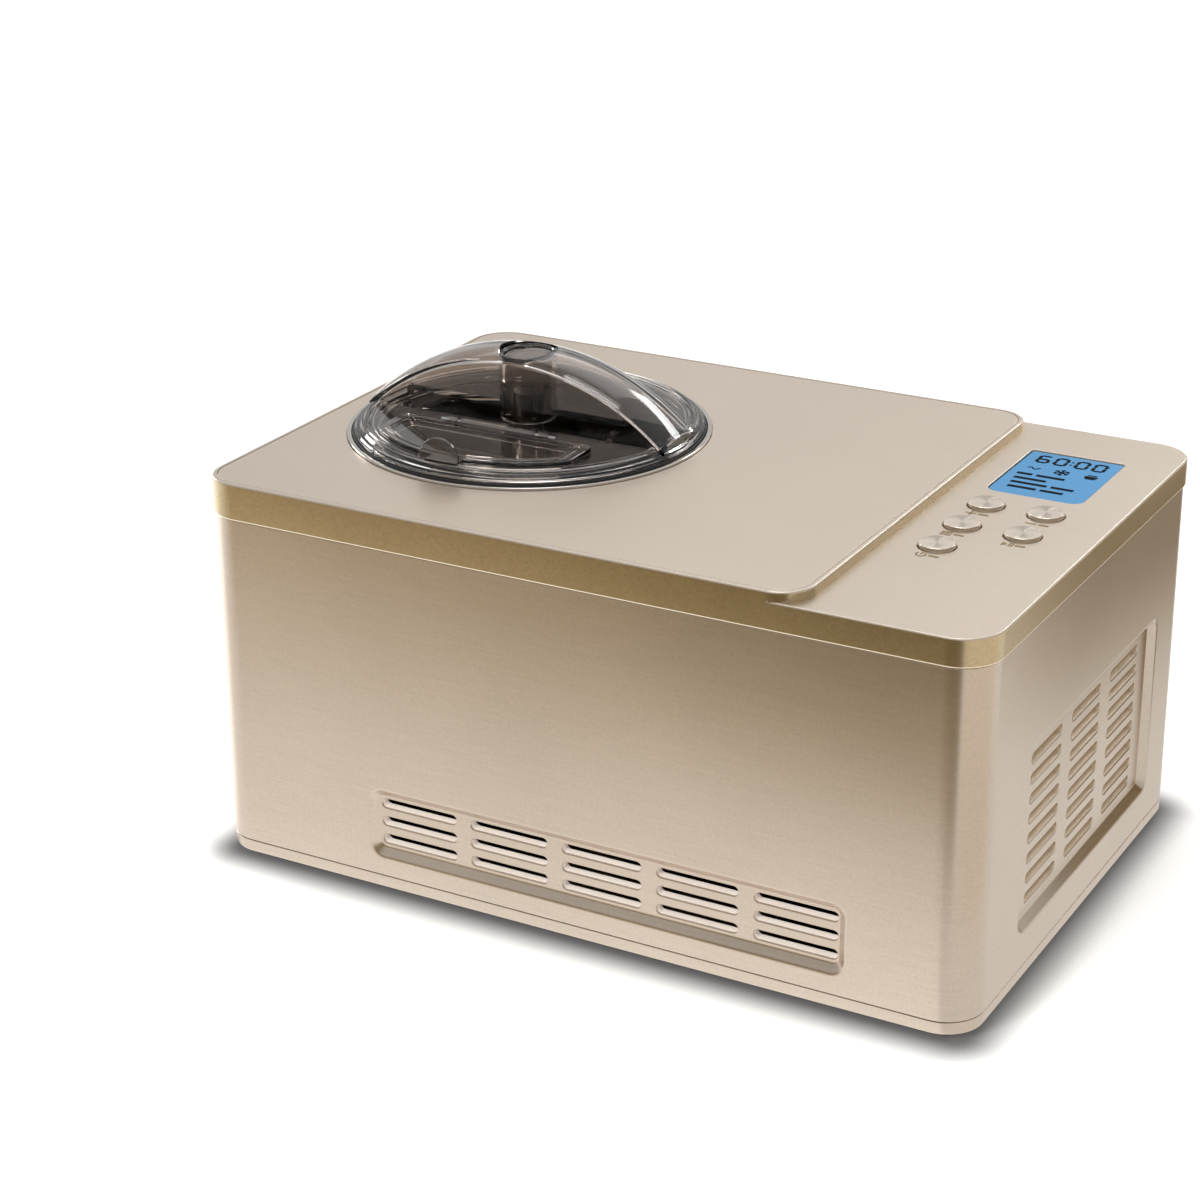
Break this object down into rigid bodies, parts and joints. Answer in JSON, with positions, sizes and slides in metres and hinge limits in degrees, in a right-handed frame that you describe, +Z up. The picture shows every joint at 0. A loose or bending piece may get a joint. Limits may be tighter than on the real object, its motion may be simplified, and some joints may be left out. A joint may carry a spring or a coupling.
{
  "type": "ice cream maker",
  "caption": "Countertop compressor ice cream maker: low box with a smoked round lid, arched grip, hinged filler cap, display and round push buttons.",
  "frame": {"origin": "on the surface it stands on, under the middle of the casing", "axes": "+X along the front to the right, towards the control deck; +Y to the back; +Z up"},
  "size_m": [0.425, 0.29, 0.255],
  "materials": {
    "gold_brushed_metal": "brushed champagne gold",
    "gold_band": "darker gold anodised band",
    "top_sheet": "pale champagne brushed aluminium",
    "trim_ring": "satin",
    "smoked_plastic": "smoked clear, gloss",
    "display_glass": "blue backlit window",
    "spun_metal": "spun",
    "steel": "satin",
    "pot_aluminium": "drawn, matt",
    "copper_tube": "drawn copper",
    "brass_parts": "turned",
    "black_rubber": "matt",
    "black_plastic": "moulded",
    "white_plastic": "moulded",
    "foam": "rigid foam",
    "circuit_board": "solder mask",
    "enamelled_steel": "black enamel"
  },
  "bodies": {
    "housing": {"base_pan": "gold_band", "outer_shell": "gold_brushed_metal", "top_cover": "gold_band", "top_plate": "top_sheet", "lid_seat_ring": "trim_ring", "lid_gasket": "black_rubber", "cooling_pot": "pot_aluminium", "evaporator_coil": "copper_tube", "insulation_jacket": "foam", "shaft_bush": "brass_parts", "gearbox_housing": "pot_aluminium", "gearbox_cover": "steel", "drive_motor": "steel", "compressor": "enamelled_steel", "compressor_base": "steel", "condenser": "pot_aluminium", "fan_shroud": "black_plastic", "fan_motor": "black_plastic", "filter_drier": "copper_tube", "suction_pipe": "copper_tube", "discharge_pipe": "copper_tube", "capillary_tube": "copper_tube", "control_board": "circuit_board", "power_board": "circuit_board", "lcd_module": "black_plastic", "lcd_window": "display_glass", "power_inlet": "black_plastic", "foot_1": "black_rubber", "base_screw_1": "steel", "rear_screw_1": "steel", "compressor_mount_1": "black_rubber", "foot_2": "black_rubber", "base_screw_2": "steel", "rear_screw_2": "steel", "compressor_mount_2": "black_rubber", "foot_3": "black_rubber", "base_screw_3": "steel", "rear_screw_3": "steel", "compressor_mount_3": "black_rubber", "foot_4": "black_rubber", "base_screw_4": "steel", "rear_screw_4": "steel", "compressor_mount_4": "black_rubber"},
    "drive": {"drive_shaft": "steel", "drive_gear": "white_plastic"},
    "motor_rotor": {"motor_pinion": "brass_parts"},
    "fan": {"fan_blades": "black_plastic"},
    "bowl": {"mixing_bowl": "steel"},
    "bail": {"bowl_handle": "steel"},
    "paddle": {"mixing_paddle": "white_plastic"},
    "lid": {"lid": "smoked_plastic", "lid_hub": "smoked_plastic", "hinge_pin": "steel"},
    "filler_cap": {"filler_cap": "smoked_plastic"},
    "button_minus": {"button_minus": "spun_metal"},
    "button_plus": {"button_plus": "spun_metal"},
    "button_menu": {"button_menu": "spun_metal"},
    "button_start": {"button_start": "spun_metal"},
    "button_power": {"button_power": "spun_metal"}
  },
  "joints": [
    {"name": "drive_spin", "type": "hinge", "parent": "housing", "child": "drive", "pos_m": [-0.103, 0, 0.05], "axis": [0, 0, 1], "continuous": true},
    {"name": "motor_spin", "type": "hinge", "parent": "housing", "child": "motor_rotor", "pos_m": [-0.055, 0, 0.05], "axis": [0, 0, 1], "continuous": true},
    {"name": "fan_spin", "type": "hinge", "parent": "housing", "child": "fan", "pos_m": [0.161, 0.007, 0.078], "axis": [1, 0, 0], "continuous": true},
    {"name": "bowl_lift", "type": "slide", "parent": "housing", "child": "bowl", "axis": [0, 0, 1], "range_m": [0, 0.15]},
    {"name": "lid_lift", "type": "slide", "parent": "bowl", "child": "lid", "axis": [0, 0, 1], "range_m": [0, 0.2]},
    {"name": "bail_swing", "type": "hinge", "parent": "bowl", "child": "bail", "pos_m": [-0.103, 0, 0.2104], "axis": [-1, 0, 0], "range_deg": [0, 90]},
    {"name": "paddle_spin", "type": "hinge", "parent": "bowl", "child": "paddle", "pos_m": [-0.103, 0, 0.14], "axis": [0, 0, 1], "continuous": true},
    {"name": "filler_hinge", "type": "hinge", "parent": "lid", "child": "filler_cap", "pos_m": [-0.103, -0.032, 0.2194], "axis": [-1, 0, 0], "range_deg": [0, 80]},
    {"name": "button_minus_press", "type": "slide", "parent": "housing", "child": "button_minus", "axis": [0, 0, -1], "range_m": [0, 0.0012], "stiffness_N_per_m": 600, "springref_m": -0.0005},
    {"name": "button_plus_press", "type": "slide", "parent": "housing", "child": "button_plus", "axis": [0, 0, -1], "range_m": [0, 0.0012], "stiffness_N_per_m": 600, "springref_m": -0.0005},
    {"name": "button_menu_press", "type": "slide", "parent": "housing", "child": "button_menu", "axis": [0, 0, -1], "range_m": [0, 0.0012], "stiffness_N_per_m": 600, "springref_m": -0.0005},
    {"name": "button_start_press", "type": "slide", "parent": "housing", "child": "button_start", "axis": [0, 0, -1], "range_m": [0, 0.0012], "stiffness_N_per_m": 600, "springref_m": -0.0005},
    {"name": "button_power_press", "type": "slide", "parent": "housing", "child": "button_power", "axis": [0, 0, -1], "range_m": [0, 0.0012], "stiffness_N_per_m": 600, "springref_m": -0.0005}
  ],
  "couplings": [
    {"joint": "motor_spin", "follows": "drive_spin", "ratio": -3},
    {"joint": "paddle_spin", "follows": "drive_spin", "ratio": 1},
    {"joint": "bail_swing", "follows": "lid_lift", "rad_per_m": 7.85}
  ]
}
